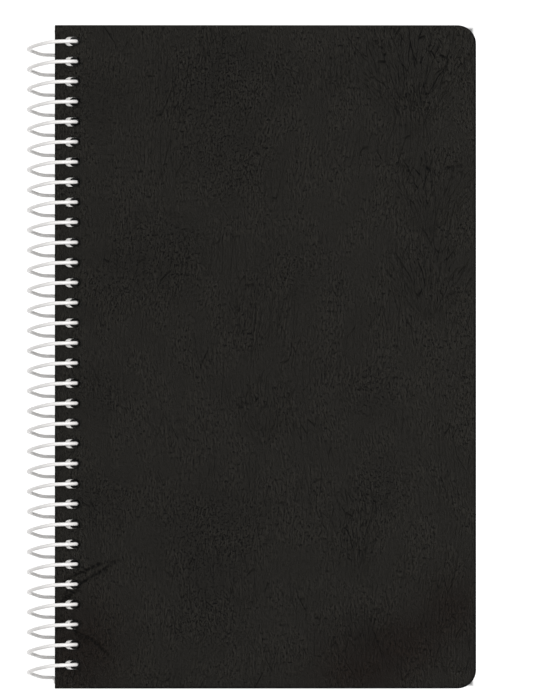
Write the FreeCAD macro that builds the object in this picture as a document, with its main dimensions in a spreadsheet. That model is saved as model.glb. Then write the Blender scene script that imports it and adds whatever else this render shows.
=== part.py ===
"""Weekly planner: a front cover, a block of pages and a back cover, punched together and held by one wire coil.

The planner lies flat with its front cover up. X runs from the spine to the fore-edge, Y from the tail to the
head and Z upwards. The coil's rings and the back cover's fore-edge stand on Z = 0, so the stack leans by about
a degree. The origin is the middle of the planner's footprint.
"""
import FreeCAD, Part
import Sketcher
import math
import os

SIZES = (
    ("cover_width", "133.0", "spine edge to fore-edge"),
    ("cover_length", "209.5", "tail edge to head edge"),
    ("cover_thick", "0.8", "each leatherette cover"),
    ("block_thick", "6.4", "all the pages together"),
    ("corner_radius", "5.9", "rounding of the two fore-edge corners"),
    ("page_short", "0.4", "from the lowest page's fore-edge to the covers' fore-edge"),
    ("hole_pitch", "6.35", "from hole to hole, four to the inch"),
    ("hole_length", "4.85", "oval hole, across the spine"),
    ("hole_height", "2.85", "oval hole, along the spine"),
    ("hole_inset", "3.1", "spine edge to the near end of a hole"),
    ("head_margin", "5.15", "head edge to the middle of the first hole"),
    ("tail_margin", "7.0", "the least from the middle of the last hole to the tail edge"),
    ("wire_lift", "0.1", "how far the wire lies above the middle of a hole"),
    ("wire_thick", "1.16", "the coated wire"),
    ("ring_radius", "7.65", "ring centre to the middle of the wire"),
    ("wire_clear", "0.46", "between the wire and the far end of a hole"),
    ("page_clear", "0.35", "between the wire and the near end of the lowest page's hole"),
    ("stack_drop", "5.2", "ring centre down to the back cover's outer face"),
    ("tip_length", "1.8", "each bent end of the wire"),
)

# worked out from the sizes above: as many holes as the spine has room for; the ring's outer radius, and how far
# the spine edge then lies inside the ring centre; where the wire's near side passes the lowest page, how far that
# page can slip towards the fore-edge before its holes meet the wire, and the width that leaves the pages inside
# the covers; the lean that lets the fore-edge reach the table, and where the ring centre then is
WORKED_OUT = (
    ("hole_count", "=floor((cover_length - head_margin - tail_margin) / hole_pitch) + 1"),
    ("ring_reach", "=ring_radius + wire_thick / 2"),
    ("ring_inset", "=ring_reach + wire_clear - hole_length - hole_inset"),
    ("page_drop", "=stack_drop - cover_thick"),
    ("wire_out", "=sqrt(ring_radius ^ 2 - page_drop ^ 2)"),
    ("wire_near", "=wire_out - wire_thick / 2 * ring_radius / wire_out"),
    ("page_slip", "=wire_near - page_clear - hole_inset - ring_inset"),
    ("page_width", "=cover_width - page_slip - page_short"),
    ("fore_reach", "=ring_inset + cover_width"),
    ("stack_thick", "=block_thick + 2 * cover_thick"),
    ("lean", "=asin(ring_reach / sqrt(fore_reach ^ 2 + stack_drop ^ 2)) - atan(stack_drop / fore_reach)"),
    ("far_side", "=fore_reach * cos(lean) + (stack_thick - stack_drop) * sin(lean)"),
    ("ring_x", "=(ring_reach - far_side) / 2"),
    ("ring_z", "=ring_reach"),
)

# the wire's slant in one turn: the angle round the ring, from the fore-edge side over the top, and how much of
# the pitch the wire has fallen towards the tail. It lies level through the holes and crosses to the next hole
# behind and below the spine.
WIRE_FALL = (
    (24, 0.0), (60, 0.018), (90, 0.055), (110, 0.112), (133, 0.197), (155, 0.281), (180, 0.370), (207, 0.460),
    (236, 0.588), (262, 0.622), (278, 0.760), (292, 0.930), (306, 1.0), (355, 1.0),
)
HEAD_END = -82    # degrees round the ring where the wire starts, hidden under the back cover
TAIL_END = 276    # degrees round the last ring where it ends
STEPS = 18        # straight pieces in one turn
SIDES = 6         # flats round the wire
END_FLATS = 5     # flats round each end of a hole


def make_sheet(doc):
    """The spreadsheet with the driving sizes and what follows from them."""
    sheet = doc.addObject("Spreadsheet::Sheet", "Sizes")
    rows = [(alias, text, note) for alias, text, note in SIZES]
    rows += [(alias, text, "") for alias, text in WORKED_OUT]
    for row, (alias, text, note) in enumerate(rows, 1):
        sheet.set(f"A{row}", alias.replace("_", " "))
        sheet.set(f"B{row}", text)
        sheet.set(f"C{row}", note)
        sheet.setAlias(f"B{row}", alias)
    doc.recompute()
    return sheet


def size(sheet, alias):
    """A cell's value as a plain number."""
    value = getattr(sheet, alias)
    return float(getattr(value, "Value", value))


def origin_plane(body, role):
    """One of a body's own origin planes or axes."""
    return next(item for item in body.Origin.OriginFeatures if item.Role == role)


def sketch_on_base(body, name):
    """An empty sketch on the body's XY plane."""
    sketch = body.newObject("Sketcher::SketchObject", name)
    sketch.AttachmentSupport = [(origin_plane(body, "XY_Plane"), "")]
    sketch.MapMode = "FlatFace"
    return sketch


def draw_polygon(sketch, corners):
    """A closed outline whose corners are pinned by expressions: (x now, y now, x expression, y expression)."""
    count = len(corners)
    for here in range(count):
        x, y = corners[here][:2]
        u, v = corners[(here + 1) % count][:2]
        sketch.addGeometry(Part.LineSegment(FreeCAD.Vector(x, y, 0), FreeCAD.Vector(u, v, 0)))
    for here in range(count):
        sketch.addConstraint(Sketcher.Constraint("Coincident", here, 2, (here + 1) % count, 1))
    for here, (x, y, x_text, y_text) in enumerate(corners):
        for kind, now, text in (("DistanceX", x, x_text), ("DistanceY", y, y_text)):
            number = sketch.addConstraint(Sketcher.Constraint(kind, -1, 1, here, 1, now))
            sketch.setExpression(f"Constraints[{number}]", text)


def sheet_outline(sheet, width, slip):
    """The corners of a cover or page of the named width, its middle on Y = 0 and its spine edge on X = 0, or
    slipped to the named distance."""
    near, half = size(sheet, slip) if slip else 0, size(sheet, "cover_length") / 2
    far = near + size(sheet, width)
    near_text = f"Sizes.{slip}" if slip else "0"
    far_text, y_text = f"{near_text} + Sizes.{width}", "Sizes.cover_length / 2"
    return [
        (near, -half, near_text, "-" + y_text), (far, -half, far_text, "-" + y_text),
        (far, half, far_text, y_text), (near, half, near_text, y_text),
    ]


def hole_outline(sheet, slip):
    """The corners of the first hole: an oval across the spine, each round end drawn with END_FLATS flats."""
    length, height = size(sheet, "hole_length"), size(sheet, "hole_height")
    near = size(sheet, "hole_inset") + (size(sheet, slip) if slip else 0)
    near_text = f"Sizes.hole_inset + Sizes.{slip}" if slip else "Sizes.hole_inset"
    middle_y = size(sheet, "cover_length") / 2 - size(sheet, "head_margin")
    middle_text = "Sizes.cover_length / 2 - Sizes.head_margin"
    ends = (
        (near + length - height / 2, f"{near_text} + Sizes.hole_length - Sizes.hole_height / 2", -90),
        (near + height / 2, f"{near_text} + Sizes.hole_height / 2", 90),
    )
    corners = []
    for middle_x, x_text, start in ends:
        for flat in range(END_FLATS + 1):
            angle = start + 180 * flat / END_FLATS
            across, along = math.cos(math.radians(angle)), math.sin(math.radians(angle))
            corners.append((
                middle_x + height / 2 * across,
                middle_y + height / 2 * along,
                f"{x_text} + Sizes.hole_height / 2 * cos({angle} deg)",
                f"{middle_text} + Sizes.hole_height / 2 * sin({angle} deg)",
            ))
    return corners


def fore_edge_corners(shape):
    """The names of the two edges that run up through a sheet's corners at the fore-edge."""
    middle = shape.BoundBox.Center.x
    return [
        f"Edge{number}" for number, edge in enumerate(shape.Edges, 1)
        if edge.BoundBox.XMin > middle and edge.BoundBox.YLength < 1e-6 and edge.BoundBox.ZLength > 1e-6
    ]


def rise_with_slip(feature, thick, slip):
    """Makes a pad or pocket rise from the slipped underside back to where the top page lies, over the spine."""
    feature.UseCustomVector = True
    feature.AlongSketchNormal = True
    feature.Direction = FreeCAD.Vector(-1, 0, 4)
    feature.setExpression("Direction.x", f"-Sizes.{slip} / 1 mm")
    feature.setExpression("Direction.z", f"Sizes.{thick} / 1 mm")


def lean_with_stack(body, below):
    """Places a sheet in the leaning stack, its underside at the height "below" as seen from the ring centre."""
    body.Placement = FreeCAD.Placement(FreeCAD.Vector(), FreeCAD.Rotation(FreeCAD.Vector(0, 1, 0), 1))
    body.setExpression("Placement.Rotation.Angle", "Sizes.lean")
    body.setExpression(
        "Placement.Base.x",
        f"Sizes.ring_x + Sizes.ring_inset * cos(Sizes.lean) + ({below}) * sin(Sizes.lean)",
    )
    body.setExpression(
        "Placement.Base.z",
        f"Sizes.ring_z - Sizes.ring_inset * sin(Sizes.lean) + ({below}) * cos(Sizes.lean)",
    )


def make_punched(doc, sheet, name, width, thick, below, slip=None):
    """A cover or the block of pages: a padded outline with rounded fore-edge corners and the row of holes.
    Where the pages slip, the underside is drawn slipped and everything rises from it aslant."""
    body = doc.addObject("PartDesign::Body", name)
    outline = sketch_on_base(body, name + "_outline")
    draw_polygon(outline, sheet_outline(sheet, width, slip))
    pad = body.newObject("PartDesign::Pad", name + "_pad")
    pad.Profile = outline
    pad.setExpression("Length", f"Sizes.{thick}")
    if slip:
        rise_with_slip(pad, thick, slip)
    doc.recompute()

    rounded = body.newObject("PartDesign::Fillet", name + "_corners")
    rounded.Base = (pad, fore_edge_corners(pad.Shape))
    rounded.setExpression("Radius", "Sizes.corner_radius")
    doc.recompute()

    oval = sketch_on_base(body, name + "_oval")
    draw_polygon(oval, hole_outline(sheet, slip))
    punch = body.newObject("PartDesign::Pocket", name + "_punch")
    punch.Profile = oval
    punch.Type = "ThroughAll"
    punch.Reversed = slip is None    # a pocket cuts downwards unless it is given its own direction
    if slip:
        rise_with_slip(punch, thick, slip)
    doc.recompute()

    row = body.newObject("PartDesign::LinearPattern", name + "_row")
    row.Originals = [punch]
    row.Direction = (oval, ["V_Axis"])
    row.Reversed = True
    row.setExpression("Length", "(Sizes.hole_count - 1) * Sizes.hole_pitch")
    row.setExpression("Occurrences", "Sizes.hole_count")
    body.Tip = row
    lean_with_stack(body, below)
    doc.recompute()
    return body


def fall(angle):
    """How many pitches the wire has fallen at an angle counted on from the first hole: WIRE_FALL, repeated
    every turn and joined by cubic curves whose slope at each point is that between its neighbours."""
    turn, rest = divmod(angle - WIRE_FALL[0][0], 360)
    rest += WIRE_FALL[0][0]
    first, last = WIRE_FALL[0], WIRE_FALL[-1]
    points = [(last[0] - 360, last[1] - 1), *WIRE_FALL, (first[0] + 360, first[1] + 1)]
    points.append((WIRE_FALL[1][0] + 360, WIRE_FALL[1][1] + 1))
    at = max(n for n in range(1, len(points) - 2) if points[n][0] <= rest)
    before, start, end, after = points[at - 1:at + 3]
    span = end[0] - start[0]
    slope_in = (end[1] - before[1]) / (end[0] - before[0]) * span
    slope_out = (after[1] - start[1]) / (after[0] - start[0]) * span
    part = (rest - start[0]) / span
    square, cube = part ** 2, part ** 3
    return turn + (
        (2 * cube - 3 * square + 1) * start[1] + (cube - 2 * square + part) * slope_in
        + (3 * square - 2 * cube) * end[1] + (cube - square) * slope_out
    )


def wire_route(sheet):
    """The corners of the wire's middle line, from its bent head end round every ring to its bent tail end."""
    radius, pitch = size(sheet, "ring_radius"), size(sheet, "hole_pitch")
    ring_x, ring_z = size(sheet, "ring_x"), size(sheet, "ring_z")
    first_y = size(sheet, "cover_length") / 2 - size(sheet, "head_margin") + size(sheet, "wire_lift")
    tip = FreeCAD.Vector(0, size(sheet, "tip_length"), 0)

    def ring_point(angle):
        turned = math.radians(angle)
        return FreeCAD.Vector(
            ring_x + radius * math.cos(turned), first_y - pitch * fall(angle), ring_z + radius * math.sin(turned)
        )

    step = 360 / STEPS
    last_angle = 360 * (round(size(sheet, "hole_count")) - 1) + TAIL_END
    lowest = -90    # one corner of every ring is at its lowest point
    angles = [HEAD_END]
    angles += [lowest + step * n for n in range(1, math.ceil((last_angle - lowest) / step))]
    angles.append(last_angle)
    points = [ring_point(angle) for angle in angles]
    return [points[0] + tip, *points, points[-1] - tip]


def wire_sections(route, radius):
    """The wire's six-sided section at each corner of its route. Every side is carried straight along a run to
    the plane that halves the bend, so that each flat of the wire is one plane from bend to bend."""
    runs = [(end - start).normalize() for start, end in zip(route, route[1:])]
    across = runs[0].cross(FreeCAD.Vector(0, 0, 1)).normalize()
    upward = across.cross(runs[0])
    section = []
    for side in range(SIDES):
        turned = 2 * math.pi * side / SIDES
        section.append(route[0] + across * (radius * math.cos(turned)) + upward * (radius * math.sin(turned)))
    sections = [section]
    for corner, run, onward in zip(route[1:], runs, runs[1:] + runs[-1:]):
        halving = run + onward
        section = [
            point + run * ((corner - point).dot(halving) / run.dot(halving)) for point in sections[-1]
        ]
        sections.append(section)
    return sections


def flat_face(corners):
    """A flat face with the given corners."""
    return Part.Face(Part.makePolygon([*corners, corners[0]]))


def make_coil(doc, sheet):
    """The binding coil: one wire, a flat for each side of each straight piece, closed at both cut ends."""
    sections = wire_sections(wire_route(sheet), size(sheet, "wire_thick") / 2)
    faces = [flat_face(sections[0]), flat_face(sections[-1])]
    for start, end in zip(sections, sections[1:]):
        for side in range(SIDES):
            onward = (side + 1) % SIDES
            faces.append(flat_face([start[side], start[onward], end[onward], end[side]]))
    shell = Part.makeShell(faces)
    shell.sewShape()
    solid = Part.makeSolid(shell)
    if solid.Volume < 0:
        solid.reverse()
    coil = doc.addObject("Part::Feature", "binding_coil")
    coil.Shape = solid
    return coil


def check_and_write(doc, pieces):
    """Stops at a failed object or an unsound shape, and otherwise writes each piece to its own STEP file."""
    for item in doc.Objects:
        if {"Invalid", "Error"} & set(item.State):
            raise RuntimeError(f"{item.Name} is {item.State}")
    for piece in pieces:
        if piece.Shape.isNull() or not piece.Shape.isValid() or len(piece.Shape.Solids) != 1:
            raise RuntimeError(f"{piece.Name} has no sound single solid")
    os.makedirs("parts", exist_ok=True)
    for piece in pieces:
        piece.Shape.exportStep(f"parts/{piece.Label}.step")
        box = piece.Shape.BoundBox
        print(
            f"{piece.Label}: volume {piece.Shape.Volume:.1f}, faces {len(piece.Shape.Faces)}, "
            f"X {box.XMin:.2f} to {box.XMax:.2f}, Y {box.YMin:.2f} to {box.YMax:.2f}, "
            f"Z {box.ZMin:.2f} to {box.ZMax:.2f}"
        )


def main():
    doc = FreeCAD.newDocument("weekly_planner")
    sheet = make_sheet(doc)
    block_below = "Sizes.cover_thick - Sizes.stack_drop"
    front_below = "Sizes.stack_thick - Sizes.cover_thick - Sizes.stack_drop"
    pieces = [
        make_punched(doc, sheet, "back_cover", "cover_width", "cover_thick", "-Sizes.stack_drop"),
        make_punched(doc, sheet, "page_block", "page_width", "block_thick", block_below, "page_slip"),
        make_punched(doc, sheet, "front_cover", "cover_width", "cover_thick", front_below),
        make_coil(doc, sheet),
    ]
    doc.recompute()
    check_and_write(doc, pieces)


main()
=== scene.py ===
"""A weekly planner lying flat, seen from straight above: black leather-grained covers and a block
of slipped pages, punched along the spine and held by one white coated wire.

Sheets are worked out in millimetres in their own stack: "across" from the spine edge to the
fore-edge, "along" from the tail to the head, and "up" from the back cover's outer face.
stack_to_frame() leans them with the part's own stack and turns them into metres.
"""
import math
import bpy
import numpy as np
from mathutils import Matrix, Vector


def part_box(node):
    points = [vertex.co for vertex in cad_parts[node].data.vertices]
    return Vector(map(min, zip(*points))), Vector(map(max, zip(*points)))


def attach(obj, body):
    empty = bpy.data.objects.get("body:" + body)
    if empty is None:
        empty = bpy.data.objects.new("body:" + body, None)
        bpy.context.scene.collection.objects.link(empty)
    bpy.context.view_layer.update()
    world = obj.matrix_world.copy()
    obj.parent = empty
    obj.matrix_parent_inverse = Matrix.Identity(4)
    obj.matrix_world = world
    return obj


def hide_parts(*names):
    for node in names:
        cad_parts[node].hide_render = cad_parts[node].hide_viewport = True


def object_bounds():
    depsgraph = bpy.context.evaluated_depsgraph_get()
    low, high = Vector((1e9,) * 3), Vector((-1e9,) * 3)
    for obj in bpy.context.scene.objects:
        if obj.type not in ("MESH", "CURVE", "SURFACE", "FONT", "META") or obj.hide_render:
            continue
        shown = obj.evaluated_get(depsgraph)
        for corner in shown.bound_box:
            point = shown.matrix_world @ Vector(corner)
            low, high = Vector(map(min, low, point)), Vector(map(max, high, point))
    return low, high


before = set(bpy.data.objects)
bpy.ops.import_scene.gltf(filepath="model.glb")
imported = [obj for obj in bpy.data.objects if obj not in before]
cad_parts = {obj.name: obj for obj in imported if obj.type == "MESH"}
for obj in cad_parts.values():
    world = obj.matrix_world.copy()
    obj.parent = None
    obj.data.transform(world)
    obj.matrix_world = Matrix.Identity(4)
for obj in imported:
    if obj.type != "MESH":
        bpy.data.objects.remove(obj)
CAD_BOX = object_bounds()
MM = 0.001

# the sheets, in millimetres
COVER_THICK = 0.8
BLOCK_THICK = 6.4
CORNER_RADIUS = 5.9
PAGE_SLIP = 1.359         # how far the last page lies from the covers' spine edge
FIRST_SLIP = 0.95         # the first page's share of that slip
PAGE_BOW = 0.22           # how much further the middle pages have slipped, as a share of it
PAGE_SHORT = 0.4          # how far the last page ends short of the covers' fore-edge
HOLE_PITCH = 6.35
HOLE_LENGTH = 4.85        # across the sheet
HOLE_HEIGHT = 2.85        # along the sheet
HOLE_INSET = 3.1          # from the spine edge to the near end of a hole
HEAD_MARGIN = 5.15        # from the head to the middle of the first hole
TAIL_MARGIN = 7.0         # the least room from the middle of the last hole to the tail

# the coil, in millimetres, and its angles in degrees from the fore-edge side over the top
WIRE_THICK = 1.16
WIRE_LIFT = 0.05          # how far headwards of the holes' middles the wire lies
RING_RADIUS = 7.65        # to the middle of the wire
RING_INSET = 0.74         # how far the rings' middle lies off the spine edge
STACK_DROP = 5.2          # how far the back cover's outer face lies below the rings' middle
TIP_LENGTH = 1.8          # the length of the wire's bent ends
TIP_BEND = 8.0            # how much of the ring the bend takes up
TIP_STEPS = 6
TIP_BEVEL = 0.1
HEAD_END = -82            # where the two ends bend aside
TAIL_END = 276
# where the wire is on its way to the next hole: (angle, pitches fallen towards the tail)
WIRE_FALL = (
    (24, 0.0), (60, 0.012), (90, 0.040), (110, 0.116), (132, 0.212), (156, 0.315), (180, 0.395),
    (207, 0.466), (222, 0.530), (236, 0.610), (250, 0.656), (273, 0.670), (281, 0.730),
    (293, 0.930), (305, 1.0), (355, 1.0),
)

# how finely the sheets are drawn
ROWS_PER_HOLE = 8
TAIL_STEPS = 12           # rows between the last hole's and the tail, along the corner's arc
HEAD_STEPS = 8            # rows between the first hole's and the head
BAND = HOLE_INSET * 2 + HOLE_LENGTH     # the spine band, with the holes along its middle
BAND_STOPS = np.array([
    0, 0.05, 0.13, 0.35, 0.9, 1.7, 2.6, 3.6, 4.6, 5.6, 6.6, 7.6, 8.7, 9.8, BAND
])
EDGE_ROUND = 0.05         # the rounding of the covers' edges
JOIN_STEP = 1e-5          # points that round to the same step are joined
SHARP_ANGLE = 40          # edges that turn more than this, in degrees, stay sharp


def stack_place():
    """The lean of the stack and where the back cover's lowest spine edge lies, from the back
    cover's box: a sheet of width w and thickness t leaning by a is w cos a + t sin a wide and
    w sin a + t cos a high."""
    low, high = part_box("back_cover")
    wide, tall = (high.x - low.x) / MM, (high.z - low.z) / MM
    lean = math.atan2(tall, wide) - math.asin(COVER_THICK / math.hypot(wide, tall))
    width = (wide - COVER_THICK * math.sin(lean)) / math.cos(lean)
    spine_z = high.z / MM - COVER_THICK * math.cos(lean)
    return lean, width, (high.y - low.y) / MM, low.x / MM, spine_z


LEAN, COVER_WIDTH, COVER_LENGTH, SPINE_X, SPINE_Z = stack_place()
HALF = COVER_LENGTH / 2
PAGE_WIDTH = COVER_WIDTH - PAGE_SLIP - PAGE_SHORT
FIRST_HOLE = HALF - HEAD_MARGIN
HOLE_COUNT = int((COVER_LENGTH - HEAD_MARGIN - TAIL_MARGIN) / HOLE_PITCH + 1e-6) + 1
HOLES = FIRST_HOLE - HOLE_PITCH * np.arange(HOLE_COUNT)


def stack_to_frame(across, along, up):
    """Points of the stack in the frame, in metres: turned by the lean about the lowest spine
    edge."""
    across, along, up = np.broadcast_arrays(across, along, up)
    x = SPINE_X + across * math.cos(LEAN) + up * math.sin(LEAN)
    z = SPINE_Z - across * math.sin(LEAN) + up * math.cos(LEAN)
    return np.stack([x, along, z], axis=-1) * MM


# ---- the plan of a punched sheet ----

def grid_faces(rows, columns):
    """The four-cornered faces of a grid of rows x columns points, counted row by row."""
    corner = (np.arange(rows - 1)[:, None] * columns + np.arange(columns - 1)).ravel()
    return np.stack([corner, corner + 1, corner + 1 + columns, corner + columns], axis=1)


def ring_faces(rings, count):
    """The four-cornered faces between closed rings of count points each, counted ring by ring."""
    ring = np.arange(rings - 1)[:, None] * count
    here = np.arange(count)
    onward = np.roll(here, -1)
    corners = [ring + here, ring + count + here, ring + count + onward, ring + onward]
    return np.stack(corners, axis=-1).reshape(-1, 4)


def sheet_rows():
    """The place along of every row, tail first, in three runs: even angles of the corner's arc,
    even steps beside the holes, and even angles again."""
    low, high = HOLES[-1] - HOLE_PITCH / 2, HOLES[0] + HOLE_PITCH / 2
    beside = np.linspace(low, high, HOLE_COUNT * ROWS_PER_HOLE + 1)
    ends = []
    for margin, steps in ((HALF + low, TAIL_STEPS), (HALF - high, HEAD_STEPS)):
        start = math.asin((CORNER_RADIUS - margin) / CORNER_RADIUS)
        turned = np.linspace(start, math.pi / 2, steps + 1)
        ends.append(HALF - CORNER_RADIUS * (1 - np.sin(turned)))
    return -ends[0][::-1], beside, ends[1]


def fore_reach(along, width):
    """How far a sheet reaches across at each row: its width, less the rounding of the corner."""
    into = np.maximum(np.abs(along) - (HALF - CORNER_RADIUS), 0)
    return width - CORNER_RADIUS + np.sqrt(np.maximum(CORNER_RADIUS ** 2 - into ** 2, 0))


def oval_rim(count):
    """Points at even distances round one hole, from its far end, as offsets from its middle."""
    end, side = HOLE_HEIGHT / 2, (HOLE_LENGTH - HOLE_HEIGHT) / 2
    degrees = [np.arange(0, 91), np.arange(90, 271), np.arange(270, 361)]
    turned = np.radians(np.concatenate(degrees))
    shift = np.concatenate([
        np.full(len(arc), offset) for arc, offset in zip(degrees, (side, -side, side))
    ])
    x, y = shift + end * np.cos(turned), end * np.sin(turned)
    gone = np.concatenate([[0], np.cumsum(np.hypot(np.diff(x), np.diff(y)))])
    at = np.linspace(0, gone[-1], count, endpoint=False)
    return np.stack([np.interp(at, gone, x), np.interp(at, gone, y)], axis=1)


def cell_rim():
    """Points round the piece of the spine band that belongs to one hole, from its far side, as
    offsets from the hole's middle. They match the rows of the grid beside it."""
    step = HOLE_PITCH / ROWS_PER_HOLE
    half = ROWS_PER_HOLE // 2
    far, near = BAND / 2, -BAND / 2
    top = BAND_STOPS[::-1] - BAND / 2
    up = np.stack([np.full(half, far), np.arange(half) * step], axis=1)
    head = np.stack([top, np.full(len(top), half * step)], axis=1)
    down = np.stack([
        np.full(2 * half - 1, near), (half - np.arange(1, 2 * half)) * step
    ], axis=1)
    tail = np.stack([top[::-1], np.full(len(top), -half * step)], axis=1)
    back = np.stack([np.full(half - 1, far), (np.arange(1, half) - half) * step], axis=1)
    return np.concatenate([up, head, down, tail, back])


def sheet_plan(width, stops, rings):
    """The plan of a punched sheet as (points, faces): round each hole, rings that pass from the
    oval to the hole's piece of the band, and a grid for the rest whose columns stand at the given
    shares of the way from the band to the fore-edge."""
    tail_rows, beside, head_rows = sheet_rows()
    rim = cell_rim()
    count = len(rim)
    share = np.asarray(rings)[:, None, None]
    rounds = oval_rim(count) * (1 - share) + rim * share
    middles = np.stack([np.full(HOLE_COUNT, BAND / 2), HOLES], axis=1)
    cells = rounds[None] + middles[:, None, None]
    starts = np.arange(HOLE_COUNT) * len(rings) * count
    faces = ring_faces(len(rings), count) + starts[:, None, None]
    parts = [(cells.reshape(-1, 2), faces.reshape(-1, 4))]
    for rows in (tail_rows, head_rows):
        y, x = np.meshgrid(rows, BAND_STOPS, indexing="ij")
        parts.append((np.stack([x, y], axis=-1).reshape(-1, 2), grid_faces(*x.shape)))
    rows = np.concatenate([tail_rows[:-1], beside, head_rows[1:]])
    x = BAND + (fore_reach(rows, width)[:, None] - BAND) * stops
    y = np.broadcast_to(rows[:, None], x.shape)
    parts.append((np.stack([x, y], axis=-1).reshape(-1, 2), grid_faces(*x.shape)))
    return parts


def sheet_outline(width, stops, keep_every):
    """The outline of a sheet, tail edge first and against the clock, through every point of its
    plan, and which of its points a plan also has that keeps only some of the columns."""
    tail_rows, beside, head_rows = sheet_rows()
    rows = np.concatenate([tail_rows[:-1], beside, head_rows[1:]])
    reach = fore_reach(rows, width)
    end = np.concatenate([BAND_STOPS, (BAND + (reach[0] - BAND) * stops)[1:]])
    band = np.full(len(BAND_STOPS), True)
    kept = np.concatenate([band, (np.arange(len(stops)) % keep_every == 0)[1:]])
    tail = np.stack([end, np.full(len(end), -HALF)], axis=1)
    fore = np.stack([reach[1:-1], rows[1:-1]], axis=1)
    spine = np.stack([np.zeros(len(rows) - 2), rows[-2:0:-1]], axis=1)
    outline = np.concatenate([tail, fore, tail[::-1] * (1, -1), spine])
    sides = np.full(len(rows) - 2, True)
    return outline, np.concatenate([kept, sides, kept[::-1], sides])


def edge_distance(across, along, width):
    """How far each point lies from the nearest edge of the sheet or of a hole."""
    past_x = across - (width - CORNER_RADIUS)
    past_y = np.abs(along) - (HALF - CORNER_RADIUS)
    corner = CORNER_RADIUS - np.hypot(np.maximum(past_x, 0), np.maximum(past_y, 0))
    straight = np.minimum(width - across, HALF - np.abs(along))
    rim = np.where((past_x > 0) & (past_y > 0), corner, straight)
    hole = HOLES[np.abs(along[:, None] - HOLES).argmin(axis=1)]
    middle = HOLE_INSET + HOLE_LENGTH / 2
    beyond = np.maximum(np.abs(across - middle) - (HOLE_LENGTH - HOLE_HEIGHT) / 2, 0)
    oval = np.hypot(beyond, along - hole) - HOLE_HEIGHT / 2
    return np.maximum(np.minimum(np.minimum(rim, across), oval), 0)


# ---- putting surfaces together ----

def flat(up):
    """A height function for a level surface."""
    return lambda across, along: np.full_like(across, up)


def cap(plan, height, shift=0.0, shrink=0.0, finish=0, turned=False):
    """The top of a sheet, or its underside if turned: the plan's points at the height that a
    function gives."""
    patches = []
    for points, faces in plan:
        raised = np.column_stack([
            points[:, 0] + shift, points[:, 1] * (1 - shrink), height(*points.T)
        ])
        patches.append((raised, faces[:, ::-1] if turned else faces, finish))
    return patches


def wall(rim, levels, finish=0):
    """The wall that hangs from a closed rim: one ring of points for each level (up, shift across,
    shrink along). Its faces look to the right of the rim's direction."""
    rings = [
        np.column_stack([rim[:, 0] + shift, rim[:, 1] * (1 - shrink), np.full(len(rim), up)])
        for up, shift, shrink in levels
    ]
    return np.concatenate(rings), ring_faces(len(levels), len(rim)), finish


def hem(rim, kept, top, low, finish=0):
    """The wall between a rim at the height top and the kept points of the same rim at the height
    low, as triangles: each stretch of the rim joins the last kept point below it."""
    count = len(rim)
    lower = np.flatnonzero(kept)
    owner = np.cumsum(kept) - 1
    here = np.arange(count)
    onward = np.roll(here, -1)
    below = np.arange(len(lower))
    after, after_low = np.roll(lower, -1), count + np.roll(below, -1)
    points = np.concatenate([
        np.column_stack([rim, np.full(count, top)]),
        np.column_stack([rim[lower], np.full(len(lower), low)]),
    ])
    faces = np.concatenate([
        np.stack([here, count + owner, onward, onward], axis=1),
        np.stack([count + below, after_low, after, after], axis=1),
    ])
    return points, faces, finish


def hole_rims():
    """The rim of every hole, with the clock, so that a wall that hangs from it looks into the
    hole."""
    oval = oval_rim(len(cell_rim()))[::-1]
    return [oval + (BAND / 2, middle) for middle in HOLES]


def join(patches):
    """Patches of (points, faces, number of the finish) as one set of points, joined where they
    meet, with the faces and each face's finish."""
    start, points, faces, finish = 0, [], [], []
    for patch, face, number in patches:
        points.append(patch)
        faces.append(face + start)
        finish.append(np.full(len(face), number, np.int32))
        start += len(patch)
    points, faces = np.concatenate(points), np.concatenate(faces)
    steps = np.round(points / JOIN_STEP).astype(np.int64)
    _, first, joined = np.unique(steps, axis=0, return_index=True, return_inverse=True)
    return points[first], joined.ravel()[faces], np.concatenate(finish)


def make_mesh(name, body, patches, finishes, place):
    """One closed mesh from patches. A face with a doubled corner becomes a triangle. Returns the
    piece and its joined points before their place."""
    points, faces, finish = join(patches)
    kept = faces != np.roll(faces, 1, axis=1)
    corners = kept.sum(axis=1)
    whole = corners > 2
    loop_start = np.cumsum(corners[whole]) - corners[whole]
    mesh = bpy.data.meshes.new(name)
    mesh.vertices.add(len(points))
    mesh.vertices.foreach_set("co", place(points).ravel())
    mesh.loops.add(int(corners[whole].sum()))
    mesh.loops.foreach_set("vertex_index", faces[whole][kept[whole]].astype(np.int32))
    mesh.polygons.add(int(whole.sum()))
    mesh.polygons.foreach_set("loop_start", loop_start.astype(np.int32))
    mesh.polygons.foreach_set("material_index", finish[whole])
    mesh.update(calc_edges=True)
    mesh.polygons.foreach_set("use_smooth", np.full(len(mesh.polygons), True))
    mesh.set_sharp_from_angle(angle=math.radians(SHARP_ANGLE))
    for material in finishes:
        mesh.materials.append(material)
    piece = bpy.data.objects.new(name, mesh)
    bpy.context.scene.collection.objects.link(piece)
    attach(piece, body)
    return piece, points


def lay_values(piece, name, values):
    """Stores one number for each point of a piece, for its finish to read."""
    layer = piece.data.attributes.new(name, "FLOAT", "POINT")
    layer.data.foreach_set("value", values.astype(np.float32))


def lay_grain(piece, across, along, name="grain"):
    """Stores a UV map whose U runs across the grain and V along it, both in decimetres."""
    corners = np.empty(len(piece.data.loops), np.int32)
    piece.data.loops.foreach_get("vertex_index", corners)
    layer = piece.data.uv_layers.new(name=name)
    places = np.stack([across, along], axis=1)[corners].astype(np.float32)
    layer.data.foreach_set("uv", places.ravel() / 100)


# ---- the leather grain, in millimetres ----

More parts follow.
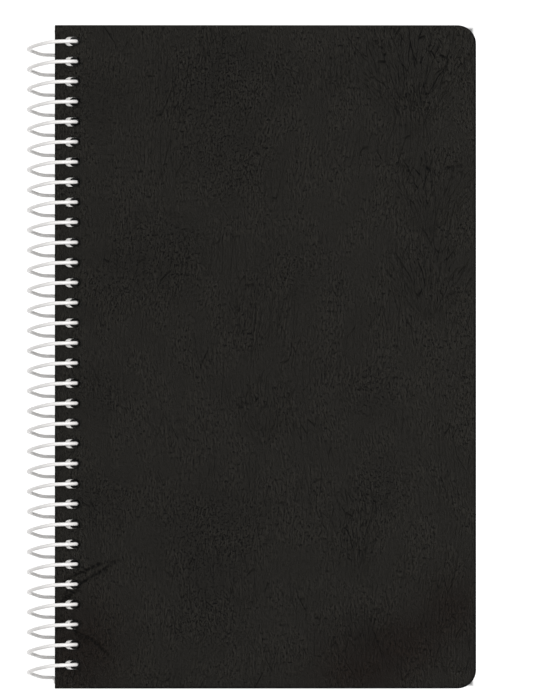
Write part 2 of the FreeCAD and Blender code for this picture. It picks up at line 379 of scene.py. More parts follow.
# places where the creases fan out headwards from a foot: (across, along, height, half angle in
# degrees, strength)
FANS = (
    (113, 73, 32, 26, 1.0), (118, 40, 24, 24, 0.9), (118, 14, 21, 26, 1.0),
    (62, 0, 22, 20, 0.6), (66, -27, 21, 22, 0.7), (95, -69, 28, 20, 0.7),
    (98, -92, 13, 24, 0.8), (88, 83, 15, 24, 0.45),
)
FAN_DEPTH = 5             # how far below its foot a fan's creases would meet
FAN_MIDDLE = 15           # how far from there its creases stand as far apart as the plain grain
FAN_SPREAD = 1.4          # how far it fades out aside, in half angles
FAN_REACH = 0.55          # how far it fades out from its middle to its foot and top, in heights
FAN_LEAST = 0.08          # a fan that is weaker than this counts as none
# places with a pebbled grain: (across, along, radius, strength)
PEBBLES = (
    (52, 86, 15, 1.0), (54, 62, 13, 0.8), (34, 32, 12, 0.9), (20, 24, 9, 0.6),
    (72, 27, 9, 0.5), (47, -57, 13, 1.0), (56, -53, 10, 0.7), (15, -11, 8, 0.5),
    (99, -11, 8, 0.6), (15, -46, 9, 0.6), (103, -40, 9, 0.6), (48, -82, 11, 0.7),
    (13, 82, 10, 0.5), (72, 88, 8, 0.5),
)
# handled places: (across, along, how wide, how tall, strength)
HANDLED = (
    (9, -92, 12, 16, 0.85), (96, -100, 15, 12, 0.85), (112, -90, 12, 9, 0.7),
    (126, -79, 10, 9, 0.7),
)
# long folds: (start across, start along, end across, end along)
FOLDS = (
    (1, -72.5, 21, -64), (2, -75.5, 17, -67.5), (1, -78, 8, -73.5), (6.6, -86.4, 18, -95.5),
    (2, -83, 10, -91), (12, -69, 18, -65.5),
)
FOLD_HALF = 0.28          # half a fold's width
FOLD_WAVE = 0.22          # how far it wanders
FOLD_BOW = 0.012          # how strongly it bows
# smooth random heights: (step across, step along, seed of the random numbers)
SWELL = (14, 17, 3)
CREASES = (1.5, 4, 5)
FAN_CREASES = (1.2, 9, 6)
PITS = (1.2, 1.4, 8)
FAN_SWAY = (4, 6, 21)
FAN_SHIVER = (1.3, 2.2, 22)
SWAY_WIDE, SHIVER_WIDE = 0.9, 0.35      # how far they push a fan's creases aside
LATTICE = (97, 89)        # how many steps across and along before the random numbers repeat
# how deep each kind of mark goes
SWELL_DEPTH = 0.03
CREASE_DEPTH = 0.012
FAN_CREASE_DEPTH = 0.035
PIT_DEPTH = 0.05
FOLD_DEPTH = 0.06


def wander(across, along, step_across, step_along, seed):
    """A smooth random height between 0 and 1: random numbers at whole steps, eased between."""
    lattice = np.random.default_rng(seed).random(LATTICE)
    columns, rows = LATTICE
    u, v = across / step_across, along / step_along
    column, row = np.floor(u).astype(int), np.floor(v).astype(int)
    du, dv = u - column, v - row
    du, dv = du * du * (3 - 2 * du), dv * dv * (3 - 2 * dv)
    left, right, low, high = column % columns, (column + 1) % columns, row % rows, (row + 1) % rows
    here = lattice[left, low] * (1 - du) + lattice[right, low] * du
    above = lattice[left, high] * (1 - du) + lattice[right, high] * du
    return here * (1 - dv) + above * dv


def grain_flow(across, along):
    """Where a point lies across and along the grain, which runs up the cover and wanders a little:
    two waves push it aside and one pushes it along."""
    u = across + 1.6 * np.sin(along / 23 + 1.3) + 1.1 * np.sin(along / 9.7 + across / 31)
    return u, along + 2 * np.sin(across / 17)


def fan_flow(across, along):
    """How strongly each point is creased by the fan it belongs to, between 0 and 1, and its place
    there: the angle round the point where the creases would meet, as an arc at FAN_MIDDLE, and the
    distance from it."""
    share, u, v = np.zeros_like(across), across.copy(), along.copy()
    for foot_x, foot_y, height, half, strength in FANS:
        off, rise = across - foot_x, along - foot_y + FAN_DEPTH
        angle, reach = np.arctan2(off, rise), np.hypot(off, rise)
        gone = (reach - FAN_DEPTH) / height
        spread = np.exp(-(angle / math.radians(FAN_SPREAD * half)) ** 2)
        here = strength * spread * np.exp(-((gone - 0.5) / FAN_REACH) ** 4) * (rise > 0)
        more = here > share
        share = np.where(more, here, share)
        u = np.where(more, foot_x + FAN_MIDDLE * angle, u)
        v = np.where(more, foot_y + reach, v)
    u = u + SWAY_WIDE * wander(across, along, *FAN_SWAY)
    u = u + SHIVER_WIDE * wander(across, along, *FAN_SHIVER)
    return np.clip((share - FAN_LEAST) / (1 - FAN_LEAST), 0, 1), u, v


def pebble_share(across, along):
    """How pebbled each point is, between 0 and 1."""
    share = np.zeros_like(across)
    for at_x, at_y, radius, strength in PEBBLES:
        off = ((across - at_x) ** 2 + (along - at_y) ** 2) / radius ** 2
        share = np.maximum(share, strength * np.exp(-off ** 1.5))
    return share


def brown_share(across, along):
    """How brown and dull each point is, between 0 and 1: the covers' tail corners are more
    handled."""
    share = np.zeros_like(across)
    for at_x, at_y, wide, tall, strength in HANDLED:
        off = ((across - at_x) / wide) ** 2 + ((along - at_y) / tall) ** 2
        share = share + strength * np.exp(-off)
    return np.clip(share, 0, 1)


def fold_share(across, along):
    """The long folds: 1 along each fold's wandering line, falling away within a third of a
    millimetre beside it and towards its ends."""
    share = np.zeros_like(across)
    for x0, y0, x1, y1 in FOLDS:
        dx, dy = x1 - x0, y1 - y0
        length = math.hypot(dx, dy)
        gone = ((across - x0) * dx + (along - y0) * dy) / length
        off = ((along - y0) * dx - (across - x0) * dy) / length
        off = off + FOLD_WAVE * np.sin(gone * 0.7 + x0) - FOLD_BOW * gone * (length - gone)
        part = np.clip(gone / length, 0, 1)
        line = np.exp(-(off / FOLD_HALF) ** 2) * np.sin(math.pi * part) ** 0.5
        share = np.maximum(share, line * (gone > 0) * (gone < length))
    return share


def leather_height(across, along):
    """The leatherette's height below its highest level: a slow swell, soft creases along the
    grain that are deeper in the fans, pits where it is pebbled, and the long folds."""
    swell = SWELL_DEPTH * (wander(across, along, *SWELL) - 1)
    creases = -CREASE_DEPTH * wander(*grain_flow(across, along), *CREASES)
    fan, fan_u, fan_v = fan_flow(across, along)
    creases = creases - FAN_CREASE_DEPTH * fan * wander(fan_u, fan_v, *FAN_CREASES)
    pits = -PIT_DEPTH * pebble_share(across, along) * wander(across, along, *PITS) ** 2
    folds = -FOLD_DEPTH * fold_share(across, along)
    return swell + creases + pits + folds


def rounded_edge(distance):
    """How far a worn edge falls away at a distance from it: a quarter circle of radius
    EDGE_ROUND."""
    inward = np.clip(distance, 0, EDGE_ROUND)
    return np.sqrt(np.maximum(EDGE_ROUND ** 2 - (EDGE_ROUND - inward) ** 2, 0)) - EDGE_ROUND


# ---- the covers ----

# the columns of a cover's outer face, from the band to the fore-edge; the inner one keeps a few
FINE_STOPS = 1 - np.concatenate([np.linspace(1, 0.006, 237), [0.0035, 0.0015, 0.0004, 0.0]])
COARSE_EVERY = 8
# the rings round each hole, from the oval to the hole's piece of the band
FINE_RINGS = (0, 0.02, 0.06, 0.15, 0.35, 0.65, 0.88, 0.965, 1)
COARSE_RINGS = (0, 0.06, 0.4, 1)
GRAIN_FADE = 1.5          # the grain grows to its full depth over this distance from an edge
# the painted shade along the covers' edges: as wide as this, fading over this, and weak by the
# spine and at the head
SHADED_EDGE_WIDE, SHADED_EDGE_FADE = 0.4, 0.3
SHADED_EDGE_FROM_SPINE, SHADED_EDGE_FROM_HEAD, SHADED_EDGE_WEAK = 9, 2.5, 0.3


def make_cover(name, node, body, inner, side, finishes):
    """A cover: a grained outer face with worn edges, a plain inner face and cut edges. The height
    is measured from the inner face outwards, and side is 1 where that is up and -1 where it is
    down."""
    def outer_height(across, along):
        """The outer face: its relief grows in from every edge, and the edges are rounded."""
        distance = edge_distance(across, along, COVER_WIDTH)
        fade = np.clip(distance / GRAIN_FADE, 0, 1)
        beside = across if side > 0 else COVER_WIDTH - across
        relief = leather_height(beside, along) * fade * fade * (3 - 2 * fade)
        return inner + side * (COVER_THICK + relief + rounded_edge(distance))

    outline, kept = sheet_outline(COVER_WIDTH, FINE_STOPS, COARSE_EVERY)
    edge = inner + side * (COVER_THICK - EDGE_ROUND)
    patches = cap(sheet_plan(COVER_WIDTH, FINE_STOPS, FINE_RINGS), outer_height)
    inside = sheet_plan(COVER_WIDTH, FINE_STOPS[::COARSE_EVERY], COARSE_RINGS)
    patches += cap(inside, flat(inner), finish=1, turned=True)
    patches.append(hem(outline, kept, edge, inner, finish=1))
    patches += [wall(rim, [(edge, 0, 0), (inner, 0, 0)], finish=1) for rim in hole_rims()]
    if side < 0:
        patches = [(points, faces[:, ::-1], finish) for points, faces, finish in patches]
    cover, points = make_mesh(name, body, patches, finishes, lambda at: stack_to_frame(*at.T))
    lay_leather(cover, points[:, 0], points[:, 1], side)
    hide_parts(node)
    return cover


def lay_leather(cover, across, along, side):
    """Stores on a cover what its leatherette reads: two grains, where each kind of mark is, and
    the painted shade along its edges, strongest by the fore-edge and the tail."""
    # painted shade: full along the fore-edge and the tail, weak by the spine and the head
    shaded_side = np.where((across > SHADED_EDGE_FROM_SPINE) & (along < HALF - SHADED_EDGE_FROM_HEAD), 1, SHADED_EDGE_WEAK)
    distance = edge_distance(across, along, COVER_WIDTH)
    beside = across if side > 0 else COVER_WIDTH - across
    fan, fan_u, fan_v = fan_flow(beside, along)
    lay_grain(cover, *grain_flow(beside, along))
    lay_grain(cover, fan_u, fan_v, "fans")
    lay_values(cover, "fan", fan)
    lay_values(cover, "pebble", pebble_share(beside, along))
    lay_values(cover, "fold", fold_share(beside, along))
    lay_values(cover, "brown", brown_share(beside, along))
    lay_values(cover, "rim", shaded_side * np.clip(1 - (distance - SHADED_EDGE_WIDE) / SHADED_EDGE_FADE, 0, 1))


# ---- the pages ----

RULED_ACROSS = (14.0, 126.0)            # where the ruled boxes start and end
RULED_ALONG = (-95.2, 95.2)
DAYS = 7
LINES_A_DAY = 4
DAY_LINE, FAINT_LINE = 0.009, 0.028     # half a line's width, as a share of the space between two
FAINTNESS = 0.4
PAGE_STOPS = 1 - np.concatenate([np.linspace(1, 0.02, 23), [0.006, 0.0]])
LEAVES = 72
BUNDLES = 24              # the leaves lie in bundles of a few, each a little askew
BUNDLE_ASIDE = 0.16       # the range of a bundle's shift by chance
BUNDLE_SHORT = 0.1        # the most that a bundle is trimmed at the head and the tail


def page_slip(depth):
    """How far the pages have slipped from the spine at a share of the block's depth: an even slant
    from the first page to the last, and on it a bow that is highest in the middle, as the leaves
    follow the bulge of the rings."""
    slant = FIRST_SLIP + (1 - FIRST_SLIP) * depth
    return PAGE_SLIP * (slant + PAGE_BOW * 4 * depth * (1 - depth))


def bundle_heights():
    """The height of every boundary between two bundles, from the top down."""
    return COVER_THICK + BLOCK_THICK * (1 - np.arange(BUNDLES + 1) / BUNDLES)


def page_levels():
    """The edge of the pages from the top down, as (up, shift, shrink): every bundle has an upright
    edge of its own, shifted by the slip at its height and a little by chance, and trimmed a little
    short. The first and the last bundle lie true."""
    chance = np.random.default_rng(11).random((BUNDLES, 2))
    chance[0] = chance[-1] = (0.5, 0)
    ups = bundle_heights()
    levels = []
    for number, (aside, short) in enumerate(chance):
        shift = page_slip((number + 0.5) / BUNDLES) + BUNDLE_ASIDE * (aside - 0.5)
        shrink = short * BUNDLE_SHORT / HALF
        levels += [(ups[number], shift, shrink), (ups[number + 1], shift, shrink)]
    return levels


def hole_levels():
    """The punched wall of the pages from the top down, as (up, shift, shrink): a smooth slope
    along the slip."""
    depth = np.arange(BUNDLES + 1) / BUNDLES
    depth[0], depth[-1] = 0.5 / BUNDLES, 1 - 0.5 / BUNDLES
    return [(up, shift, 0) for up, shift in zip(bundle_heights(), page_slip(depth))]


def make_pages(finishes):
    """The block of pages: bundles of leaves with their own edges, punched through."""
    levels = page_levels()
    plan = sheet_plan(PAGE_WIDTH, PAGE_STOPS, COARSE_RINGS)
    outline, _ = sheet_outline(PAGE_WIDTH, PAGE_STOPS, 1)
    (top, *top_place), (low, *low_place) = levels[0], levels[-1]
    patches = cap(plan, flat(top), *top_place)
    patches += cap(plan, flat(low), *low_place, turned=True)
    patches.append(wall(outline, levels, finish=1))
    patches += [wall(rim, hole_levels(), finish=1) for rim in hole_rims()]
    pages, points = make_mesh(
        "page_leaves", "book", patches, finishes, lambda at: stack_to_frame(*at.T)
    )
    lay_grain(pages, points[:, 0], points[:, 1])
    lay_values(pages, "leaf", (points[:, 2] - COVER_THICK) / BLOCK_THICK * LEAVES)
    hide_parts("page_block")
    return pages


# ---- the coil ----

AROUND = 16               # points round the wire
TURN_STEP = 7.5           # degrees of a ring between two rings of points
CUT_SHARE = 0.42          # the radius of the cut ends inside their bevel, in thicknesses
RING_X = SPINE_X - RING_INSET * math.cos(LEAN) + STACK_DROP * math.sin(LEAN)
RING_Z = SPINE_Z + RING_INSET * math.sin(LEAN) + STACK_DROP * math.cos(LEAN)


def wire_fall(angle):
    """How many pitches the wire has fallen towards the tail at each angle: WIRE_FALL repeated
    every turn, joined by cubic curves whose slope at each point is that between its neighbours."""
    at, fallen = np.array(WIRE_FALL, float).T
    turn = np.floor((angle - at[0]) / 360)
    rest = angle - 360 * turn
    at = np.concatenate([at[-1:] - 360, at, at[:2] + 360])
    fallen = np.concatenate([fallen[-1:] - 1, fallen, fallen[:2] + 1])
    here = np.clip(np.searchsorted(at, rest, side="right") - 1, 1, len(at) - 3)
    span = at[here + 1] - at[here]
    slope_in = (fallen[here + 1] - fallen[here - 1]) / (at[here + 1] - at[here - 1]) * span
    slope_out = (fallen[here + 2] - fallen[here]) / (at[here + 2] - at[here]) * span
    part = (rest - at[here]) / span
    square, cube = part ** 2, part ** 3
    return turn + (
        (2 * cube - 3 * square + 1) * fallen[here] + (cube - 2 * square + part) * slope_in
        + (3 * square - 2 * cube) * fallen[here + 1] + (cube - square) * slope_out
    )


def ring_point(angle):
    """The wire's middle line at each angle round its rings, in millimetres of the frame."""
    turned = np.radians(angle)
    return np.stack([
        RING_X + RING_RADIUS * np.cos(turned),
        FIRST_HOLE + WIRE_LIFT - HOLE_PITCH * wire_fall(angle),
        RING_Z + RING_RADIUS * np.sin(turned),
    ], axis=1)


def bent_tip(angle, inward, along):
    """The wire's bent end from the cut inwards: straight along Y, then round a bend into the ring
    at an angle. Returns its points and the angle where the ring takes over."""
    corner, onward = ring_point(np.array([angle, angle + inward * TIP_BEND], float))
    reach = np.linalg.norm(onward - corner)
    out = np.array([0, along, 0])
    part = np.linspace(0, 1, TIP_STEPS + 1)[:-1, None]
    start, middle, end = (1 - part) ** 2, 2 * part * (1 - part), part ** 2
    curve = start * (corner + out * reach) + middle * corner + end * onward
    cut = corner + out * TIP_LENGTH
    return np.concatenate([[cut, cut - out * TIP_BEVEL], curve]), angle + inward * TIP_BEND


def make_coil(finishes):
    """The coil: a round section carried along the wire's middle line. The section's first axis
    points away from the ring's middle, so it never twists, and both cut ends close in a small
    bevel."""
    head, first_angle = bent_tip(HEAD_END, 1, 1)
    tail, last_angle = bent_tip(360 * (HOLE_COUNT - 1) + TAIL_END, -1, -1)
    steps = round((last_angle - first_angle) / TURN_STEP)
    angles = np.linspace(first_angle, last_angle, steps + 1)
    path = np.concatenate([head, ring_point(angles), tail[::-1]])
    outward = np.radians(np.concatenate([
        np.full(len(head), first_angle), angles, np.full(len(tail), last_angle)
    ]))
    along = np.gradient(path, axis=0)
    along /= np.linalg.norm(along, axis=1, keepdims=True)
    away = np.stack([np.cos(outward), np.zeros_like(outward), np.sin(outward)], axis=1)
    side = np.cross(along, away)
    side /= np.linalg.norm(side, axis=1, keepdims=True)
    away = np.cross(side, along)
    thick = np.full(len(path), WIRE_THICK / 2)
    thick[0] = thick[-1] = CUT_SHARE * WIRE_THICK
    turned = np.linspace(0, 2 * math.pi, AROUND, endpoint=False)[:, None]
    ring = away[:, None] * np.cos(turned) + side[:, None] * np.sin(turned)
    points = (path[:, None] + thick[:, None, None] * ring).reshape(-1, 3)
    faces = ring_faces(len(path), AROUND)[:, [0, 3, 2, 1]]
    here = np.arange(AROUND)
    disc = np.stack([np.full(AROUND, AROUND), np.roll(here, -1), here, here], axis=1)
    patches = [
        (points, faces, 0),
        (np.concatenate([points[:AROUND], path[:1]]), disc, 1),
        (np.concatenate([points[-AROUND:], path[-1:]]), disc[:, [0, 2, 1, 1]], 1),
    ]
    coil, _ = make_mesh("coil_wire", "book", patches, finishes, lambda at: at * MM)
    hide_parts("binding_coil")
    return coil


# ---- finishes ----

def node(tree, kind, inputs=None, **settings):
    """Adds a node, sets it up, and gives each named input a number, a colour or another node's
    output."""
    made = tree.nodes.new("ShaderNode" + kind)
    for name, value in settings.items():
        setattr(made, name, value)
    for name, value in (inputs or {}).items():
        if isinstance(value, bpy.types.NodeSocket):
            tree.links.new(value, made.inputs[name])
        else:
            made.inputs[name].default_value = value
    return made


def new_finish(name, **shader_values):
    """A material with one Principled shader, whose constant values are set on it: (tree, shader,
    material)."""
    material = bpy.data.materials.new(name)
    material.use_nodes = True
    tree = material.node_tree
    shader = next(n for n in tree.nodes if n.type == "BSDF_PRINCIPLED")
    for key, value in shader_values.items():
        title = key.replace("_", " ").title().replace("Ior", "IOR")
        shader.inputs[title].default_value = value
    return tree, shader, material


def feed(tree, shader, colour, rough):
    """Links a finish's colour and roughness to its shader."""
    tree.links.new(colour, shader.inputs["Base Color"])
    tree.links.new(rough, shader.inputs["Roughness"])


def bumps(tree, shader, height, strength, distance):
    """Gives a finish small bumps, as high as the distance in metres."""
    inputs = {"Height": height, "Strength": strength, "Distance": distance}
    tree.links.new(node(tree, "Bump", inputs).outputs["Normal"], shader.inputs["Normal"])


def mixed(tree, share, first, second, blend_type="MIX"):
    """Two colours, each (red, green, blue) or an output, mixed by the second one's share."""
    first, second = ((*c, 1) if isinstance(c, tuple) else c for c in (first, second))
    inputs = {"Fac": share, "Color1": first, "Color2": second}
    return node(tree, "MixRGB", inputs, blend_type=blend_type).outputs["Color"]


def ramp(tree, value, low, high, to_low=0.0, to_high=1.0):
    """A value carried smoothly from one range to another and held inside it."""
    inputs = {
        "Value": value, "From Min": low, "From Max": high, "To Min": to_low, "To Max": to_high
    }
    return node(tree, "MapRange", inputs, interpolation_type="SMOOTHSTEP").outputs["Result"]


def sums(tree, operation, first, second=0.0):
    """The result of one sum on one value or two."""
    return node(tree, "Math", {0: first, 1: second}, operation=operation).outputs[0]


def times(tree, first, second):
    """The product of two values."""
    return sums(tree, "MULTIPLY", first, second)


def plus(tree, first, second):
    """Two values added up."""
    return sums(tree, "ADD", first, second)


def stretched(tree, vector, across, along):
    """A flat vector scaled to so many repeats a millimetre across and along, from decimetres."""
    inputs = {"Vector": vector, "Scale": (across * 100, along * 100, 1)}
    return node(tree, "Mapping", inputs).outputs["Vector"]


def flat_noise(tree, vector, detail):
    """Cloudy noise between 0 and 1, one cloud for each unit of a flat vector."""
    inputs = {"Vector": vector, "Scale": 1.0, "Detail": detail}
    return node(tree, "TexNoise", inputs, noise_dimensions="2D").outputs["Fac"]


def noise(tree, vector, across, along, detail):
    """Cloudy noise between 0 and 1, with so many clouds a millimetre across and along."""
    return flat_noise(tree, stretched(tree, vector, across, along), detail)


def solid_noise(tree, scale, detail):
    """Cloudy noise between 0 and 1 through the piece, with so many clouds a metre."""
    place = node(tree, "TexCoord").outputs["Object"]
    inputs = {"Vector": place, "Scale": scale, "Detail": detail}
    return node(tree, "TexNoise", inputs).outputs["Fac"]


def map_of(tree, name):
    """A UV map that was laid on the piece."""
    return node(tree, "UVMap", uv_map=name).outputs["UV"]


def value_of(tree, name):
    """A number that was laid on the piece."""
    return node(tree, "Attribute", attribute_name=name).outputs["Fac"]


def branching(tree, vector, across, along, wide):
    """Thin branching lines, 1 in their middle: the borders between long cells that are drawn out
    along the grain. Across and along are the cells a millimetre, and wide is half a line's width
    in cells."""
    inputs = {"Vector": stretched(tree, vector, across, along), "Scale": 1.0}
    cells = node(
        tree, "TexVoronoi", inputs, voronoi_dimensions="2D", feature="DISTANCE_TO_EDGE"
    )
    return ramp(tree, cells.outputs["Distance"], 0, wide, 1, 0)


def crease_lines(tree, grain):
    """The leatherette's thin lines: branches and twigs that come and go where the creases fan out,
    and a few long faint wrinkles anywhere."""
    fans = map_of(tree, "fans")
    come_and_go = ramp(tree, noise(tree, fans, 0.45, 0.1, detail=1), 0.36, 0.56)
    branches = times(tree, branching(tree, fans, 0.55, 0.033, 0.035), come_and_go)
    now_and_then = ramp(tree, noise(tree, fans, 0.8, 0.3, detail=1), 0.42, 0.6)
    twigs = times(tree, branching(tree, fans, 1.15, 0.11, 0.07), now_and_then)
    branches = times(tree, sums(tree, "MAXIMUM", branches, twigs), value_of(tree, "fan"))
    here_and_there = ramp(tree, noise(tree, grain, 0.07, 0.05, detail=2), 0.44, 0.66, 0, 0.5)
    wrinkles = times(tree, branching(tree, grain, 0.45, 0.05, 0.03), here_and_there)
    return plus(tree, branches, wrinkles)


def leatherette():
    """Black leatherette: a fine short grain, small flecks in uneven patches, a few long wrinkles,
    branching creases that spread in the fans, pits where it is pebbled, and a brown-black tone
    that is browner where it is handled. Every mark is painted darker as shade in its hollow, and
    the edges carry a painted shade, strongest along the fore-edge and the tail."""
    tree, shader, material = new_finish("black_leatherette", specular_ior_level=0.1)
    grain = map_of(tree, "grain")

    patchy = ramp(tree, noise(tree, grain, 0.12, 0.08, detail=3), 0.36, 0.62, 0.3, 1.0)
    streaks = ramp(tree, noise(tree, grain, 1.5, 0.5, detail=3), 0.3, 0.7)
    streaks = times(tree, streaks, patchy)
    fine = noise(tree, grain, 3.2, 1.9, detail=2)
    flecks = ramp(tree, noise(tree, grain, 2.2, 1.0, detail=1), 0.28, 0.40, 1, 0)
    flecks = times(tree, flecks, patchy)
    pits = ramp(tree, noise(tree, grain, 1.9, 1.5, detail=1), 0.27, 0.37, 1, 0)
    pits = times(tree, pits, value_of(tree, "pebble"))
    lines = plus(tree, crease_lines(tree, grain), value_of(tree, "fold"))

    marks = plus(tree, times(tree, flecks, 0.7), times(tree, pits, 1.5))
    marks = plus(tree, marks, lines)
    grainy = plus(tree, times(tree, streaks, 0.45), times(tree, fine, 0.6))
    height = sums(tree, "SUBTRACT", grainy, times(tree, marks, 1.4))
    bumps(tree, shader, height, 1.0, 0.00034)

    cloud = noise(tree, grain, 0.03, 0.03, detail=4)
    tone = mixed(tree, cloud, (0.0102, 0.0092, 0.0072), (0.0121, 0.0110, 0.0086))
    tone = mixed(tree, value_of(tree, "brown"), tone, (0.0052, 0.0024, 0.0010))
    tone = mixed(tree, 1.0, tone, ramp(tree, grainy, 0.2, 0.8, 0.6, 1.2), "MULTIPLY")
    # painted shade: every mark is a hollow in the bump, and its colour is darkened as if shade lay
    # in it
    tone = mixed(tree, ramp(tree, marks, 0, 0.9), tone, (0.001, 0.001, 0.001))
    # painted shade: the edges are darkened, most along the fore-edge and the tail, as where their
    # rounding lies in shade
    rim = ramp(tree, value_of(tree, "rim"), 0, 0.7)
    tone = mixed(tree, rim, tone, (0.0004, 0.0004, 0.0004))
    feed(tree, shader, tone, ramp(tree, plus(tree, fine, marks), 0.2, 1.4, 0.45, 0.8))
    return material


def cover_lining():
    """The covers' inner side and cut edges: dull black card with short fibres."""
    tree, shader, material = new_finish("black_card", specular_ior_level=0.25)
    fibres = noise(tree, map_of(tree, "grain"), 2.5, 0.8, detail=4)
    tone = mixed(tree, fibres, (0.014, 0.0137, 0.013), (0.024, 0.0235, 0.0225))
    bumps(tree, shader, fibres, 0.6, 0.00003)
    feed(tree, shader, tone, ramp(tree, fibres, 0.2, 0.8, 0.75, 0.9))
    return material


def inside(tree, value, low, high):
    """1 where a value lies between two others, and 0 elsewhere."""
    above, below = sums(tree, "GREATER_THAN", value, low), sums(tree, "LESS_THAN", value, high)
    return times(tree, above, below)


def line_every(tree, value, wide):
    """1 on thin lines at the whole numbers of a value, and 0 between them."""
    part = sums(tree, "FRACT", plus(tree, value, 0.5))
    off = sums(tree, "ABSOLUTE", sums(tree, "SUBTRACT", part, 0.5))
    return ramp(tree, off, wide * 0.7, wide, 1, 0)


def week_lines(tree, grain):
    """How dark the ruling is at each point, between 0 and 1: a line between two days, and fainter
    ones within each day."""
    apart = node(tree, "SeparateXYZ", {"Vector": grain})
    across, along = (times(tree, apart.outputs[axis], 100) for axis in ("X", "Y"))
    in_boxes = sums(
        tree, "MINIMUM", inside(tree, across, *RULED_ACROSS), inside(tree, along, *RULED_ALONG)
    )
    low, high = RULED_ALONG
    day = sums(tree, "DIVIDE", sums(tree, "SUBTRACT", along, low), (high - low) / DAYS)
    faint = line_every(tree, times(tree, day, LINES_A_DAY), FAINT_LINE)
    lines = sums(tree, "MAXIMUM", line_every(tree, day, DAY_LINE), times(tree, faint, FAINTNESS))
    return times(tree, lines, in_boxes)


def page_face():
    """A page: uncoated paper with faint fibres, and a week's seven ruled boxes in thin grey
    lines."""
    tree, shader, material = new_finish("ruled_paper", specular_ior_level=0.3)
    grain = map_of(tree, "grain")
    fibres = noise(tree, grain, 1.5, 1.5, detail=5)
    tone = mixed(tree, fibres, (0.77, 0.76, 0.74), (0.82, 0.81, 0.79))
    tone = mixed(tree, week_lines(tree, grain), tone, (0.16, 0.16, 0.17))
    bumps(tree, shader, fibres, 0.4, 0.00002)
    feed(tree, shader, tone, ramp(tree, fibres, 0.2, 0.8, 0.82, 0.95))
    return material


def page_edges():
    """The cut edges of the pages: every leaf a streak of its own tone, with a faint painted shade
    in the gap between two leaves."""
    tree, shader, material = new_finish("leaf_edges", specular_ior_level=0.2)
    apart = node(tree, "SeparateXYZ", {"Vector": map_of(tree, "grain")})
    beside = plus(tree, apart.outputs["X"], apart.outputs["Y"])
    leaf = value_of(tree, "leaf")
    streak = node(tree, "CombineXYZ", {"X": times(tree, beside, 6.0), "Y": leaf})
    each = flat_noise(tree, streak.outputs["Vector"], detail=1)
    # painted shade: a faint darkening just above each join between two leaves
    gap_shade = ramp(tree, sums(tree, "FRACT", leaf), 0.0, 0.3, 0.92, 1.0)
    tone = mixed(tree, each, (0.90, 0.895, 0.88), (0.96, 0.955, 0.945))
    tone = mixed(tree, 1.0, tone, gap_shade, "MULTIPLY")
    bumps(tree, shader, times(tree, each, gap_shade), 0.6, 0.00004)
    feed(tree, shader, tone, ramp(tree, each, 0.2, 0.8, 0.8, 0.95))
    return material


def wire_coating():
    """The wire's white coating: smooth and half glossy, a little uneven."""
    tree, shader, material = new_finish("white_coating", coat_weight=0.25, coat_roughness=0.15)
    uneven = solid_noise(tree, 900.0, 2.0)
    tone = mixed(tree, uneven, (0.69, 0.675, 0.665), (0.74, 0.725, 0.715))
    bumps(tree, shader, uneven, 0.3, 0.00003)
    feed(tree, shader, tone, ramp(tree, uneven, 0.2, 0.8, 0.3, 0.42))
    return material


def cut_steel():
    """The bare steel of the wire's two cut ends."""
    tree, shader, material = new_finish("cut_steel", metallic=1.0)
    torn = solid_noise(tree, 6000.0, 3.0)
    tone = mixed(tree, torn, (0.42, 0.42, 0.43), (0.62, 0.62, 0.62))
    feed(tree, shader, tone, ramp(tree, torn, 0.2, 0.8, 0.3, 0.55))
    return material


# ---- the table, the light and the camera ----

TABLE_REACH = 1.6         # metres from its middle to a side
GLOW_FADE = 0.0015        # how far its glow reaches in under the back cover, in metres
# the studio lamps: (name, place, width, power), in metres and watts
LAMPS = (
    ("fore_box", (1.38, 0.2, 0.85), 0.5, 22), ("spine_box", (-1.3, -0.1, 1.3), 0.8, 6),
    ("top_box", (0.1, 0, 2.0), 2.0, 14), ("head_box", (-0.3, 1.3, 0.9), 0.7, 3),
)
ROOM_STRENGTH = 0.4
LENS, SENSOR = 1000.0, 36.0             # in millimetres
VIEW_TALL = 0.221         # what the view's height takes in at the front cover, in metres
VIEW_ACROSS = 0.0682      # the middle of the view, from the front cover's spine edge
VIEW_ALONG = 0.00216      # and headwards of the front cover's middle


def pale_floor():
    """The table: mid grey with a barely seen tooth, and lit from below all round the planner, so
    that it looks white and takes no hard shadow."""
    tree, shader, material = new_finish(
        "pale_table", specular_ior_level=0.1, emission_color=(1, 1, 1, 1)
    )
    tooth = solid_noise(tree, 700.0, 3.0)
    tone = mixed(tree, tooth, (0.19, 0.19, 0.19), (0.21, 0.21, 0.21))
    feed(tree, shader, tone, ramp(tree, tooth, 0.2, 0.8, 0.85, 0.95))
    low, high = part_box("back_cover")
    apart = node(tree, "SeparateXYZ", {"Vector": node(tree, "TexCoord").outputs["Object"]})
    beyond = []
    for axis, first, last in (("X", low.x, high.x), ("Y", low.y, high.y)):
        off = sums(tree, "SUBTRACT", apart.outputs[axis], (first + last) / 2)
        beyond.append(sums(tree, "SUBTRACT", sums(tree, "ABSOLUTE", off), (last - first) / 2))
    glow = ramp(tree, sums(tree, "MAXIMUM", *beyond), -GLOW_FADE, 0)
    tree.links.new(glow, shader.inputs["Emission Strength"])
    return material


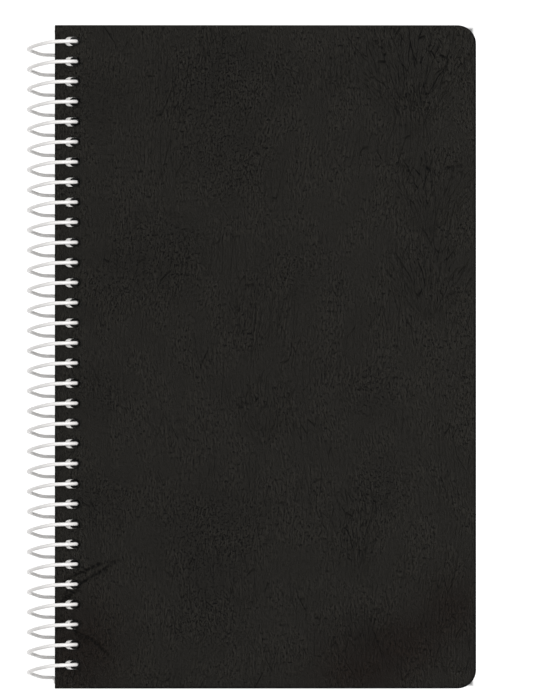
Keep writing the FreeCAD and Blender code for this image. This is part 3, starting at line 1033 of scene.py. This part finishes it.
def make_floor():
    """A wide square at the planner's lowest point."""
    level = CAD_BOX[0].z
    corners = [
        (x * TABLE_REACH, y * TABLE_REACH, level) for x, y in ((-1, -1), (1, -1), (1, 1), (-1, 1))
    ]
    mesh = bpy.data.meshes.new("table")
    mesh.from_pydata(corners, [], [(0, 1, 2, 3)])
    mesh.materials.append(pale_floor())
    floor = bpy.data.objects.new("table", mesh)
    bpy.context.scene.collection.objects.link(floor)


def soft_box(name, place, across, power):
    """A square studio lamp that looks at the planner."""
    lamp = bpy.data.lights.new(name, "AREA")
    lamp.size, lamp.energy = across, power
    box = bpy.data.objects.new(name, lamp)
    box.location = place
    x, y, z = place
    box.rotation_euler = (math.atan2(math.hypot(x, y), z), 0, math.atan2(-y, -x) - math.pi / 2)
    bpy.context.scene.collection.objects.link(box)


def make_light():
    """An even room, a big soft box above, one off the fore-edge that rakes the grain and shines
    into the holes, and weak ones off the spine and the head."""
    for lamp in LAMPS:
        soft_box(*lamp)
    world = bpy.data.worlds.new("room")
    world.use_nodes = True
    room = next(n for n in world.node_tree.nodes if n.type == "BACKGROUND")
    room.inputs["Color"].default_value = (1, 1, 1, 1)
    room.inputs["Strength"].default_value = ROOM_STRENGTH
    bpy.context.scene.world = world


def make_camera():
    """Straight above, and so far off with a long lens that there is next to no perspective."""
    low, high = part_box("front_cover")
    camera = bpy.data.cameras.new("camera")
    camera.lens, camera.sensor_width = LENS, SENSOR
    holder = bpy.data.objects.new("camera", camera)
    holder.location = (
        low.x + VIEW_ACROSS, (low.y + high.y) / 2 + VIEW_ALONG, high.z + VIEW_TALL * LENS / SENSOR
    )
    bpy.context.scene.collection.objects.link(holder)
    bpy.context.scene.camera = holder
    bpy.context.scene.view_settings.view_transform = "Standard"


def main():
    """Makes the four pieces, the table, the light and the camera."""
    leather, lining = leatherette(), cover_lining()
    inner_front = COVER_THICK + BLOCK_THICK
    make_cover(
        "front_cover_leatherette", "front_cover", "front", inner_front, 1, [leather, lining]
    )
    make_cover(
        "back_cover_leatherette", "back_cover", "back", COVER_THICK, -1, [leather, lining]
    )
    make_pages([page_face(), page_edges()])
    make_coil([wire_coating(), cut_steel()])
    make_floor()
    make_light()
    make_camera()


main()
